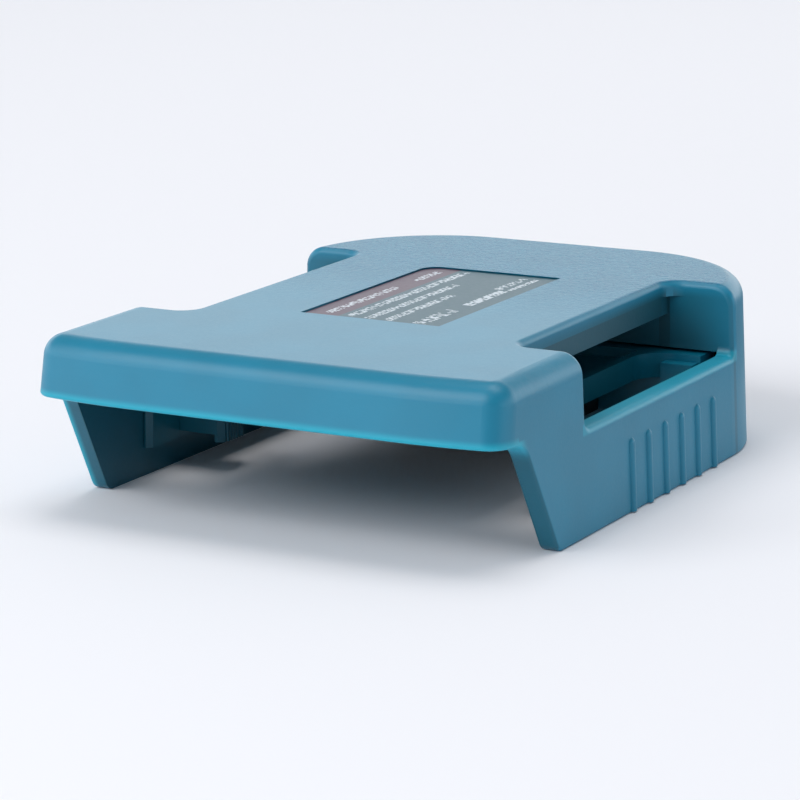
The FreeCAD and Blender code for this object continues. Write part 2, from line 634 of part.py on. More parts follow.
def make_rail_frame():
    """Lower moulding: floor of the outlet end, cross wall with its band, tray, and the two
    rails that the battery slides on, carried by arms along the skirts."""
    body = new_body("rail_frame")
    floor_foot = cell("floor_foot")
    inset = shell_wall + seat_gap + side_draft * floor_top
    half, rear, corner = foot_width / 2 - inset, end_foot - inset, end_corner - inset
    ahead = bulkhead_near - corner
    plan = outline(body, "floor_plan", [
        (-half, ahead), (half, ahead), (half, rear - corner, corner, 1),
        (half - corner, rear), (-half + corner, rear, corner, 1), (-half, rear - corner),
    ], level=floor_foot)
    pad(body, "floor", plan, cell("floor_plate"))
    front = outline(body, "floor_front_plan", box_corners(
        -foot_width / 2, foot_width / 2, ahead - 1, bulkhead_near), level=floor_foot)
    pocket(body, "floor_front", front, cell("floor_plate"), backwards=True)
    wall_half = foot_width / 2 - cell("shell_wall") - cell("bulkhead_gap")
    wall = outline(body, "cross_wall_plan", box_corners(
        -wall_half, wall_half, bulkhead_near, bulkhead_far), level=floor_foot)
    pad(body, "cross_wall", wall, cell("arm_top") - floor_foot)
    band_half = foot_width / 2 - cell("shell_wall") - cell("band_gap")
    band_foot = cell("band_top") - cell("band_plate")
    band = outline(body, "band_plan", box_corners(
        -band_half, band_half, bulkhead_near, bulkhead_near + cell("band_depth")), level=band_foot)
    pad(body, "band", band, cell("band_plate"))

    tray_half, tray_near, rim = cell("tray_width") / 2, nose_edge + cell("tray_setback"), cell("tray_rim")
    joint_y = bulkhead_near + cell("bulkhead_wall") / 2
    tray = outline(body, "tray_plan", box_corners(-tray_half, tray_half, tray_near, joint_y),
                   level=cell("tray_foot"))
    pad(body, "tray", tray, cell("band_top") - cell("tray_foot"))
    hollow = outline(body, "tray_hollow_plan", box_corners(
        -tray_half + rim, tray_half - rim, tray_near + rim, bulkhead_near), level=cell("band_top"))
    pocket(body, "tray_hollow", hollow, cell("band_top") - tray_top)
    fillet(body, "tray_curves", cell("tray_curve"), lambda e: (
        spans(e, "Y", bulkhead_near) and e.BoundBox.ZLength > 1
        and near(abs(e.BoundBox.XMin), tray_half) and near(abs(e.BoundBox.XMax), tray_half)))

    slope = side_draft
    skirt = foot_width / 2 - shell_wall - seat_gap
    arm_foot, arm_top, arm_wall = cell("arm_foot"), cell("arm_top"), cell("arm_wall")
    arms = new_sketch(body, "arm_section", "XZ_Plane", -bulkhead_far)
    for side in (1, -1):
        add_loop(arms, [
            (side * (skirt - slope * arm_foot), arm_foot), (side * (skirt - slope * arm_top), arm_top),
            (side * (skirt - slope * arm_top - arm_wall), arm_top),
            (side * (skirt - slope * arm_foot - arm_wall), arm_foot),
        ])
    arm_near = nose_edge + cell("arm_setback")
    pad(body, "arms", arms, bulkhead_far - arm_near)
    dress(body, "Chamfer", "arm_lead_in", arm_wall * 0.75, lambda e: (
        spans(e, "Y", arm_near) and e.BoundBox.ZLength > 1
        and max(abs(e.BoundBox.XMin), abs(e.BoundBox.XMax)) < (skirt - slope * arm_foot - arm_wall / 2).number))

    rail_low, rail_high = cell("rail_foot"), cell("rail_top")
    rail_near = nose_edge + cell("rail_setback")
    rail_half, guide_half = cell("rail_gauge") / 2, cell("guide_gauge") / 2
    rail_outer = skirt - slope * rail_high - arm_wall / 2
    nib, turn = cell("guide_chamfer"), cell("rail_round")
    guide_far = rail_near + cell("guide_length")
    rails = new_sketch(body, "rail_plan", "XY_Plane", rail_low)
    for side in (1, -1):
        add_loop(rails, [
            (side * (guide_half + nib), rail_near),
            (side * (rail_outer - turn), rail_near, turn, side),
            (side * rail_outer, rail_near + turn), (side * rail_outer, joint_y), (side * rail_half, joint_y),
            (side * rail_half, guide_far), (side * (guide_half + nib), guide_far),
            (side * guide_half, guide_far - nib), (side * guide_half, rail_near + nib),
        ])
    pad(body, "rails", rails, rail_high - rail_low)
    guide_low, lip_half = cell("guide_foot"), guide_half + cell("guide_lip")
    lips = new_sketch(body, "guide_lip_plan", "XY_Plane", guide_low)
    for side in (1, -1):
        add_loop(lips, [
            (side * (guide_half + nib), rail_near), (side * lip_half, rail_near), (side * lip_half, guide_far),
            (side * (guide_half + nib), guide_far), (side * guide_half, guide_far - nib),
            (side * guide_half, rail_near + nib),
        ])
    pad(body, "guide_lips", lips, (rail_low + rail_high) / 2 - guide_low)
    stop_in = cell("stop_gauge") / 2
    stop_out = foot_width / 2 - cell("shell_wall") - cell("stop_gap")
    stops = new_sketch(body, "stop_plan", "XY_Plane", rail_low)
    stop_near = bulkhead_near - cell("stop_length")
    add_loop(stops, box_corners(stop_in, stop_out, stop_near, joint_y))
    add_loop(stops, box_corners(-stop_out, -stop_in, stop_near, joint_y))
    pad(body, "rail_stops", stops, cell("stop_top") - rail_low)

    ridges = []
    middle = rail_near + cell("guide_length") / 2
    first = middle - cell("ridge_pitch") * (cell("ridge_count") - 1) / 2
    for side, name in ((1, "right"), (-1, "left")):
        circle = new_sketch(body, name + "_ridge_plan", "XY_Plane", guide_low)
        add_circle(circle, side * guide_half, first, cell("ridge_radius"))
        ridges.append(pad(body, name + "_ridge", circle, rail_high - guide_low))
    row = body.newObject("PartDesign::LinearPattern", "ridge_rows")
    row.Originals = ridges
    row.Direction = (origin_part(body, "Y_Axis"), [""])
    bind(row, "Occurrences", cell("ridge_count"))
    bind(row, "Length", cell("ridge_pitch") * (cell("ridge_count") - 1))
    body.Tip = row
    doc.recompute()

    pads = new_sketch(body, "screw_pad_plan", "XY_Plane", floor_top)
    sinks = new_sketch(body, "screw_sink_plan", "XY_Plane", floor_foot)
    holes = new_sketch(body, "screw_hole_plan", "XY_Plane", floor_foot)
    hole = cell("shank_radius") + cell("hole_gap")
    for x, y in rear_screws:
        add_circle(pads, x, y, cell("screw_pad_radius"))
        add_circle(sinks, x, y, cell("head_radius") + cell("hole_gap"))
        add_circle(holes, x, y, hole)
    pad(body, "screw_pads", pads, cell("screw_pad"))
    pocket(body, "screw_sinks", sinks, cell("floor_plate"), backwards=True)
    pocket(body, "screw_holes", holes, pad_top - floor_foot, backwards=True)

    pillars = new_sketch(body, "standoff_plan", "XY_Plane", floor_top)
    pilots = new_sketch(body, "standoff_pilot_plan", "XY_Plane", cell("board_foot") - solder)
    for x, y in board_screws:
        add_circle(pillars, x, y, cell("standoff_radius"))
        add_circle(pilots, x, y, cell("small_shank_radius") + cell("thread_gap"))
    pad(body, "standoffs", pillars, cell("board_foot") - solder - floor_top)
    pocket(body, "standoff_pilots", pilots, cell("board_foot") - floor_top)

    tray_holes = new_sketch(body, "tray_hole_plan", "XY_Plane", tray_top)
    for x, y in front_screws:
        add_circle(tray_holes, x, y, hole)
    for x, y in block_screws:
        add_circle(tray_holes, x, y, cell("small_shank_radius") + cell("hole_gap"))
    pocket(body, "tray_holes", tray_holes, cell("tray_plate"))

    gates = new_sketch(body, "blade_gate_plan", "XZ_Plane", -bulkhead_far)
    room, gap = cell("blade_wall") / 2 + cell("hole_gap"), cell("hole_gap")
    for side in (1, -1):
        x = side * cell("blade_x")
        add_loop(gates, box_corners(x - room, x + room, tail_foot - gap, tail_top + gap))
    pocket(body, "blade_gates", gates, cell("bulkhead_wall"), backwards=True)
    return body


def make_terminal_block():
    """Black block under the tray that carries the two blades."""
    body = new_body("terminal_block")
    half, far = cell("block_width") / 2, block_near + cell("block_length")
    plan = outline(body, "block_plan", round_box(-half, half, block_near, far, cell("block_round")),
                   level=cell("block_foot"))
    pad(body, "block", plan, block_top - cell("block_foot"))
    slots = new_sketch(body, "blade_slot_plan", "XZ_Plane", -far)
    room, gap = cell("blade_wall") / 2 + solder, solder
    for side in (1, -1):
        x = side * cell("blade_x")
        add_loop(slots, box_corners(
            x - room, x + room, cell("blade_foot") - gap, cell("blade_foot") + cell("blade_height") + gap))
    pocket(body, "blade_slots", slots, cell("block_length"), backwards=True)
    pilots = new_sketch(body, "block_pilot_plan", "XY_Plane", block_top)
    for x, y in block_screws:
        add_circle(pilots, x, y, cell("small_shank_radius") + cell("thread_gap"))
    pocket(body, "block_pilots", pilots, cell("small_shank_length") - cell("tray_plate") + 0.5)
    return body


def make_blade(label, side):
    """Flat battery contact with a tapered tip and a narrow tail through the cross wall."""
    body = new_body(label)
    low, high = cell("blade_foot"), cell("blade_foot") + cell("blade_height")
    tip, bite = block_near - cell("blade_reach"), cell("blade_height") / 4
    shoulder, end = bulkhead_near - cell("guide_chamfer"), bulkhead_far + cell("lead_bend")
    side_view = outline(body, label + "_side", [
        (tip, low + bite), (tip + bite * 2, low), (shoulder, low), (shoulder, tail_foot), (end, tail_foot),
        (end, tail_top), (shoulder, tail_top), (shoulder, high), (tip + bite * 2, high), (tip, high - bite),
    ], plane="YZ_Plane", level=side * cell("blade_x"))
    pad(body, label + "_plate", side_view, cell("blade_wall"), midplane=True)
    return body


def make_board():
    """Circuit board on its two pillars."""
    body = new_body("main_board")
    half = foot_width / 2 - cell("board_margin")
    plan = outline(body, "board_plan", box_corners(
        -half, half, board_near, board_near + cell("board_length")), level=cell("board_foot"))
    pad(body, "board", plan, cell("board_plate"))
    holes = new_sketch(body, "board_hole_plan", "XY_Plane", board_top)
    for x, y in board_screws:
        add_circle(holes, x, y, cell("small_shank_radius") + cell("hole_gap"))
    pocket(body, "board_holes", holes, cell("board_plate"))
    return body


def make_port_shell(label, x, z, width, height, length, corner, wall):
    """Metal outlet sleeve, open towards the bezel and closed behind."""
    body = new_body(label)
    half, rise = width / 2, height / 2
    outer = outline(body, label + "_outline", round_box(x - half, x + half, z - rise, z + rise, corner),
                    plane="XZ_Plane", level=-port_face)
    pad(body, label + "_sleeve", outer, length)
    inner = outline(body, label + "_mouth", round_box(
        x - half + wall, x + half - wall, z - rise + wall, z + rise - wall, corner - wall),
        plane="XZ_Plane", level=-port_face)
    pocket(body, label + "_hollow", inner, length - wall, backwards=True)
    return body


def make_bezel():
    """Black plate in the outlet window with a flange behind the wall."""
    body = new_body("port_bezel")
    half = cell("port_width") / 2 - seat_gap
    low = cell("port_centre") - cell("port_height") / 2 + seat_gap
    high = cell("port_centre") + cell("port_height") / 2 - seat_gap
    corner, lip = cell("port_corner") - seat_gap, cell("bezel_lip")
    face = outline(body, "bezel_outline", round_box(-half, half, low, high, corner),
                   plane="XZ_Plane", level=-bezel_face)
    pad(body, "bezel_plate", face, cell("bezel_plate") + cell("bezel_flange") / 2)
    flange = outline(body, "flange_outline", round_box(
        -half - lip, half + lip, low - lip, high + lip, corner),
        plane="XZ_Plane", level=-bezel_face + cell("bezel_plate"))
    pad(body, "bezel_flange", flange, cell("bezel_flange"))
    cuts = new_sketch(body, "outlet_cuts", "XZ_Plane", -bezel_face)
    gap = cell("port_gap")
    for x, z, width, height, corner in (
            (-cell("large_port_x"), large_port_z, cell("large_port_width"), cell("large_port_height"), 0.6),
            (cell("small_port_x"), small_port_z, cell("small_port_width"), cell("small_port_height"), 1.5)):
        half, rise = width / 2 + gap, height / 2 + gap
        add_loop(cuts, round_box(x - half, x + half, z - rise, z + rise, corner + gap))
    add_circle(cuts, cell("button_x"), button_z, cell("button_radius") + cell("button_gap"))
    add_circle(cuts, cell("light_x"), light_z, cell("light_radius") + solder)
    pocket(body, "outlet_holes", cuts, cell("bezel_plate") + cell("bezel_flange") + 1, backwards=True)
    return body


def place(thing, x, y, z, turned=False):
    """Puts a primitive at a point that follows the sheet; turned lays its height along +Y."""
    point = [Size.of(value) for value in (x, y, z)]
    turn = Rotation(Vector(1, 0, 0), -90) if turned else Rotation()
    thing.Placement = Placement(Vector(*(value.number for value in point)), turn)
    for letter, value in zip("xyz", point):
        thing.setExpression("Placement.Base." + letter, value.formula)
    return thing


def brick(label, x, y, z, across, along, up):
    """Box centred on x and y, standing on z."""
    box = doc.addObject("Part::Box", label)
    for prop, value in (("Length", across), ("Width", along), ("Height", up)):
        bind(box, prop, value)
    return place(box, x - Size.of(across) / 2, y - Size.of(along) / 2, z)


def rod(label, x, y, z, radius, length, turned=False):
    """Cylinder that starts at a point and runs up, or along +Y when turned."""
    cylinder = doc.addObject("Part::Cylinder", label)
    bind(cylinder, "Radius", radius)
    bind(cylinder, "Height", length)
    return place(cylinder, x, y, z, turned)


def combine(kind, label, shapes):
    """Fuses or gathers shapes."""
    result = doc.addObject("Part::" + kind, label)
    setattr(result, "Shapes" if kind == "MultiFuse" else "Links", shapes)
    return result


def cut(label, base, tool):
    result = doc.addObject("Part::Cut", label)
    result.Base, result.Tool = base, tool
    return result


def make_screw(x, y, seat, way, shank, length, head, height):
    """Pan-head screw with a cross recess; way is +1 for a shank that points up."""
    if way > 0:
        top, tip, recess = seat - height, seat, seat - height
    else:
        top, tip, recess = seat, seat - length, seat + height / 2
    body = combine("MultiFuse", "screw_blank", [
        rod("screw_head", x, y, top, head, height), rod("screw_shank", x, y, tip, shank, length)])
    long, short = head * 1.2, head * 0.28
    cross = combine("MultiFuse", "screw_cross", [
        brick("recess_along", x, y, recess, long, short, height / 2),
        brick("recess_across", x, y, recess, short, long, height / 2)])
    return cut("screw", body, cross)


def make_housing_screws():
    rear = [make_screw(x, y, floor_top - solder, 1, *housing_screw) for x, y in rear_screws]
    front = [make_screw(x, y, cell("tray_foot") - solder, 1, *housing_screw) for x, y in front_screws]
    return combine("Compound", "housing_screws", rear + front)


def make_small_screws():
    board = [make_screw(x, y, board_top + solder, -1, *small_screw) for x, y in board_screws]
    block = [make_screw(x, y, tray_top + solder, -1, *small_screw) for x, y in block_screws]
    return combine("Compound", "small_screws", board + block)


def make_lead(label, side):
    """Insulated lead that arches from a blade's tail to the board."""
    ring = doc.addObject("Part::Torus", label)
    bind(ring, "Radius1", cell("lead_bend"))
    bind(ring, "Radius2", cell("lead_radius"))
    ring.Angle3 = 180
    place(ring, side * cell("blade_x"), bulkhead_far + cell("lead_bend") * 1.65, board_top + solder)
    ring.Placement = Placement(ring.Placement.Base, Rotation(Vector(0, 1, 0), Vector(0, 0, 1), Vector(1, 0, 0)))
    return ring


def make_label_film():
    """Printed film in the recess on the roof."""
    body = new_body("label_film")
    half, near_y = cell("label_width") / 2 - seat_gap, nose_edge + cell("label_setback") + seat_gap
    far_y, corner = near_y + cell("label_length") - 2 * seat_gap, cell("label_corner")
    plan = outline(body, "film_plan", [
        (-half, near_y), (half, near_y), (half, far_y), (-half + corner, far_y, corner, 1),
        (-half, far_y - corner),
    ], level=body_height - cell("label_depth") + 0.02)
    pad(body, "film", plan, cell("film_plate"))
    return body


def make_switch():
    """Switch with its plunger, and the button that presses it."""
    size, depth, x = cell("switch_size"), cell("switch_depth"), cell("button_x")
    travel, face = cell("button_travel"), bezel_face
    flange_back = bezel_back - seat_gap - 1
    front = flange_back - travel - seat_gap
    bore = rod("switch_bore", x, front - travel - 1.3, button_z,
               cell("plunger_radius") + cell("plunger_gap"), depth, turned=True)
    casing = cut("switch_body", brick("switch_case", x, front - depth / 2, board_top + solder,
                                      size, depth, size), bore)
    plunger = rod("switch_plunger", x, front - 1.2, button_z, cell("plunger_radius"),
                  flange_back - front + 1.15, turned=True)
    stem = rod("button_stem", x, flange_back, button_z, cell("button_radius"),
               face + cell("button_proud") - flange_back, turned=True)
    flange = rod("button_flange", x, flange_back, button_z, cell("button_radius") + 0.3, 1, turned=True)
    return casing, plunger, combine("MultiFuse", "button_cap", [stem, flange])


housing_screw = [cell(name) for name in ("shank_radius", "shank_length", "head_radius", "head_height")]
small_screw = [cell("small_" + name) for name in ("shank_radius", "shank_length", "head_radius", "head_height")]

large_x, small_x = -cell("large_port_x"), cell("small_port_x")
large_back = port_face - cell("large_port_length")
small_back = port_face - cell("small_port_length")
deck = board_top + solder
nodes = [
    make_upper_housing(),
    make_rail_frame(),
    make_terminal_block(),
    make_blade("positive_blade", 1),
    make_blade("negative_blade", -1),
    make_lead("positive_lead", 1),
    make_lead("negative_lead", -1),
    make_board(),
    make_port_shell("large_outlet_shell", large_x, large_port_z, cell("large_port_width"),
                    cell("large_port_height"), cell("large_port_length"), Size.of(0.6), Size.of(0.4)),
    brick("large_outlet_tongue", large_x, large_back + 6.6, large_port_z + 0.2,
          cell("large_port_width") - 2, 12.2, 1.8),
    make_port_shell("small_outlet_shell", small_x, small_port_z, cell("small_port_width"),
                    cell("small_port_height"), cell("small_port_length"), Size.of(1.5), Size.of(0.3)),
    brick("small_outlet_tongue", small_x, small_back + 3.2, small_port_z - 0.35,
          cell("small_port_width") - 2.2, 5.6, 0.7),
    make_bezel(),
    *make_switch(),
    brick("status_led", cell("light_x"), port_face - cell("light_length") - 0.85, deck, 2.2, 1.6, 2),
    rod("light_pipe", cell("light_x"), port_face - cell("light_length"), light_z, cell("light_radius"),
        cell("light_length"), turned=True),
    brick("power_inductor", small_x - 0.3, board_near + 5.7, deck, 7.6, 7.6, 4.2),
    rod("input_capacitor", cell("button_x"), board_near + 6.4, deck, 3.15, 7.5),
    combine("Compound", "output_capacitors", [
        rod("near_capacitor", -17.3, board_near + 6.4, deck, 2, 5.4),
        rod("far_capacitor", -18.4, board_near + 10.45, deck, 2, 5.4)]),
    combine("Compound", "converter_chips", [
        brick("switching_chip", 20.2, board_near + 10, deck, 4, 5, 1.5),
        brick("control_chip", -6, board_near + 2, deck, 5, 3, 1.5)]),
    brick("fuse", 15.8, board_near + 1.5, deck, 5.6, 2.6, 2.4),
    make_housing_screws(),
    make_small_screws(),
    make_label_film(),
]

doc.recompute()
for thing in doc.Objects:
    if "Invalid" in thing.State or "Error" in thing.State:
        raise RuntimeError("%s: %s" % (thing.Label, thing.State))
for node in nodes:
    if node.Shape.isNull() or not node.Shape.isValid():
        raise RuntimeError(node.Label + " has no valid shape")

os.makedirs("parts", exist_ok=True)
for node in nodes:
    node.Shape.exportStep("parts/%s.step" % node.Label)
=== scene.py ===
"""Slide-on battery adapter with charging outlets: finishes, small visible parts and a plain studio."""
import math
from collections import namedtuple

import bmesh
import bpy
from mathutils import Matrix, Vector


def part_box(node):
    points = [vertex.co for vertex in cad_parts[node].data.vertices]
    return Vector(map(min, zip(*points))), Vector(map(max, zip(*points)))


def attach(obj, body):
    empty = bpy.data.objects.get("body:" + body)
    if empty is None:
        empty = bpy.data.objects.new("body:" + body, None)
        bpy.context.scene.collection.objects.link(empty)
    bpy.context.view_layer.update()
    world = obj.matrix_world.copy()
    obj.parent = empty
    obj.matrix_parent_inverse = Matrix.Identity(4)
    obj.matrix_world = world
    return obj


bl_info = {
    "name": "Battery adapter",
    "version": (1, 0, 0),
    "blender": (4, 5, 0),
    "location": "View3D > Sidebar > Adapter",
    "description": "Dresses the battery adapter and sets up its studio",
    "category": "Object",
}

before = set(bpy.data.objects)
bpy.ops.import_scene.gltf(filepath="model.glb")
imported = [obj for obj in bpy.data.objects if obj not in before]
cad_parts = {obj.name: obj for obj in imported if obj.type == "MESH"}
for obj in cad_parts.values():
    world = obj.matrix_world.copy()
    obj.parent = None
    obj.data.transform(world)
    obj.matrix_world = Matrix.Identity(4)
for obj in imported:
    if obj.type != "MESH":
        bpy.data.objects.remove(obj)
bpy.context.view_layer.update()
MM = 0.001
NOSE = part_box("upper_housing")[0].y
ROOF_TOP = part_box("upper_housing")[1].z


class Wire:
    """An output socket that can be used in plain arithmetic."""

    def __init__(self, nodes, socket):
        self.nodes = nodes
        self.socket = socket

    def math(self, operation, *others):
        return self.nodes.math(operation, self, *others)

    def __add__(self, other):
        return self.math("ADD", other)

    __radd__ = __add__

    def __mul__(self, other):
        return self.math("MULTIPLY", other)

    __rmul__ = __mul__

    def __sub__(self, other):
        return self.math("SUBTRACT", other)

    def __rsub__(self, other):
        return self.nodes.math("SUBTRACT", other, self)

    def __truediv__(self, other):
        return self.math("DIVIDE", other)

    def __gt__(self, other):
        return self.math("GREATER_THAN", other)

    def __lt__(self, other):
        return self.math("LESS_THAN", other)

    def __abs__(self):
        return self.math("ABSOLUTE")

    def floor(self):
        return self.math("FLOOR")

    def larger(self, other):
        return self.math("MAXIMUM", other)

    def between(self, low, high):
        """1 where the value lies between two limits."""
        return (self > low) * (self < high)

    def soft(self, low, high, start=0.0, end=1.0):
        """Eases from start to end as the value passes from low to high."""
        settings = {"interpolation_type": "SMOOTHSTEP"}
        return self.nodes.node("ShaderNodeMapRange", settings, (self, low, high, start, end))


class Nodes:
    """Adds nodes to one node tree."""

    def __init__(self, tree):
        self.tree = tree

    def feed(self, socket, value):
        """Links a wire to a socket, or sets the socket's own value."""
        if isinstance(value, Wire):
            self.tree.links.new(value.socket, socket)
        else:
            socket.default_value = value

    def node(self, kind, settings=None, inputs=(), output=0):
        """Adds a node: its settings first, then the values or links of its inputs."""
        node = self.tree.nodes.new(kind)
        for key, value in (settings or {}).items():
            setattr(node, key, value)
        pairs = inputs.items() if isinstance(inputs, dict) else enumerate(inputs)
        for key, value in pairs:
            self.feed(node.inputs[key], value)
        return Wire(self, node.outputs[output])

    def math(self, operation, *values):
        return self.node("ShaderNodeMath", {"operation": operation}, values)

    def dot(self, vector, direction):
        """How far a vector goes along a direction."""
        settings = {"operation": "DOT_PRODUCT"}
        return self.node("ShaderNodeVectorMath", settings, (vector, direction), output="Value")

    def ray(self, kind):
        """1 for light-path rays of one kind, such as Is Camera Ray."""
        return self.node("ShaderNodeLightPath", output=kind)

    def mix(self, factor, first, second):
        """Blends two colours."""
        return self.node("ShaderNodeMix", {"data_type": "RGBA"}, {0: factor, 6: first, 7: second}, output=2)


class Finish(Nodes):
    """A procedural material that reads the object's own coordinates."""

    def __init__(self, name):
        self.material = bpy.data.materials.new(name)
        self.material.use_nodes = True
        super().__init__(self.material.node_tree)
        self.shader = self.tree.nodes["Principled BSDF"]
        self.place = self.node("ShaderNodeTexCoord", output="Object")
        parts = self.node("ShaderNodeSeparateXYZ", None, (self.place,)).socket.node
        self.x, self.y, self.z = (Wire(self, socket) for socket in parts.outputs)

    def noise(self, size, detail=2.0, roughness=0.5, at=None):
        """Noise with cells of about the given size in metres, from 0 to 1."""
        inputs = {"Vector": at or self.place, "Scale": 1 / size, "Detail": detail, "Roughness": roughness}
        return self.node("ShaderNodeTexNoise", None, inputs)

    def chance(self, *cell):
        """An even random value from 0 to 1 for each whole-numbered cell of a row or a grid."""
        if len(cell) == 1:
            return self.node("ShaderNodeTexWhiteNoise", {"noise_dimensions": "1D"}, {"W": cell[0]})
        spot = self.node("ShaderNodeCombineXYZ", None, (*cell, 0.0))
        return self.node("ShaderNodeTexWhiteNoise", {"noise_dimensions": "2D"}, {"Vector": spot})

    def bump(self, height, distance):
        """Surface normal raised by a height of up to the given distance in metres."""
        return self.node("ShaderNodeBump", None, {"Height": height, "Distance": distance, "Strength": 1.0})

    def set(self, **inputs):
        """Sets or links the shader's inputs and gives the material back."""
        for name, value in inputs.items():
            self.feed(self.shader.inputs[name.replace("_", " ")], value)
        return self.material


def color(value, scale=1.0):
    """Colour with its alpha, made lighter or darker by a scale."""
    return (*(min(1.0, part * scale) for part in value[:3]), 1.0)


def paint(node, material):
    """Puts a finish on a solid that is already in the frame."""
    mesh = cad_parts[node].data
    mesh.materials.clear()
    mesh.materials.append(material)


def add_piece(name, bm, material, body):
    """Makes a mesh piece of a finished bmesh and hangs it on its body."""
    mesh = bpy.data.meshes.new(name)
    bmesh.ops.recalc_face_normals(bm, faces=bm.faces)
    bm.to_mesh(mesh)
    bm.free()
    mesh.materials.append(material)
    piece = bpy.data.objects.new(name, mesh)
    bpy.context.scene.collection.objects.link(piece)
    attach(piece, body)


def add_block(bm, low, high, rounding):
    """Box between two corners with its edges rounded."""
    low, high = Vector(low), Vector(high)
    middle = Matrix.Translation((low + high) / 2)
    size = Matrix.Diagonal((*(high - low), 1))
    made = bmesh.ops.create_cube(bm, size=1, matrix=middle @ size)
    edges = list({edge for corner in made["verts"] for edge in corner.link_edges})
    bmesh.ops.bevel(bm, geom=edges, offset=rounding, segments=2, profile=0.5, affect="EDGES", material=-1)


class HousingLook(bpy.types.PropertyGroup):
    shell_color: bpy.props.FloatVectorProperty(
        name="Shell colour", description="Colour of the moulded shell", subtype="COLOR",
        default=(0.0015, 0.192, 0.305), min=0, max=1)
    # Painted shade: the darker teal painted on the shell's faces turned inwards, where shade falls.
    inner_shade_color: bpy.props.FloatVectorProperty(
        name="Inner colour", description="Colour of the shell's faces turned inwards", subtype="COLOR",
        default=(0.001, 0.06, 0.085), min=0, max=1)
    # Painted glow: the lighter teal painted on thin edges where light comes through them.
    glow_color: bpy.props.FloatVectorProperty(
        name="Edge colour", description="Colour of thin edges that light comes through", subtype="COLOR",
        default=(0.005, 0.42, 0.55), min=0, max=1)
    # Painted shade: the darker teal painted on the skirts' slanted fronts, which lean forward over the floor
    # and sit in shade.
    leg_shade_color: bpy.props.FloatVectorProperty(
        name="Leg colour", description="Colour of the skirts' slanted fronts", subtype="COLOR",
        default=(0.001, 0.09, 0.13), min=0, max=1)
    # How strongly the painted glow is laid on the thin edges.
    edge_glow: bpy.props.FloatProperty(
        name="Edge glow", description="How much the thin edges change", subtype="FACTOR",
        default=0.85, min=0, max=1)
    speck_color: bpy.props.FloatVectorProperty(
        name="Speck colour", description="Colour of the grain's dark specks", subtype="COLOR",
        default=(0.001, 0.12, 0.24), min=0, max=1)
    gloss_tint: bpy.props.FloatVectorProperty(
        name="Gloss tint", description="Tint of the gloss seen straight on", subtype="COLOR",
        default=(0.92, 0.92, 0.95), min=0, max=1)
    sheen: bpy.props.FloatProperty(
        name="Sheen", description="Pale sheen at grazing angles", subtype="FACTOR",
        default=0.06, min=0, max=1)
    # Painted shade: a darker copy of the housing's teal for the lower moulding, which sits in shade inside
    # the housing.
    frame_shade_color: bpy.props.FloatVectorProperty(
        name="Frame colour", description="Colour of the lower moulding", subtype="COLOR",
        default=(0.001, 0.1, 0.145), min=0, max=1)
    # Painted light: the lit copy of the lower moulding's teal, for the band behind the slots where light
    # falls through them.
    band_lit_color: bpy.props.FloatVectorProperty(
        name="Band colour", description="Colour of the lower moulding behind the slots", subtype="COLOR",
        default=(0.001, 0.18, 0.28), min=0, max=1)
    grain_size: bpy.props.FloatProperty(
        name="Grain size", description="Spacing of the moulded grain", subtype="DISTANCE", unit="LENGTH",
        default=0.00032, min=0.00005, max=0.002, precision=5)
    grain_depth: bpy.props.FloatProperty(
        name="Grain depth", description="Height of the moulded grain", subtype="DISTANCE", unit="LENGTH",
        default=0.00003, min=0, max=0.0003, precision=6)
    roughness: bpy.props.FloatProperty(
        name="Roughness", description="Roughness of the moulded plastic", subtype="FACTOR",
        default=0.42, min=0, max=1)


class LabelLook(bpy.types.PropertyGroup):
    # Partly the film's dark ground, partly a painted bluish reflection laid into its colour.
    film_and_reflection_color: bpy.props.FloatVectorProperty(
        name="Film colour", description="Ground of the label film", subtype="COLOR",
        default=(0.02, 0.09, 0.12), min=0, max=1)
    strip_color: bpy.props.FloatVectorProperty(
        name="Strip colour", description="Strip along the label's long edge", subtype="COLOR",
        default=(0.075, 0.04, 0.07), min=0, max=1)
    mark_color: bpy.props.FloatVectorProperty(
        name="Mark colour", description="Plain marks on the label", subtype="COLOR",
        default=(0.62, 0.68, 0.72), min=0, max=1)


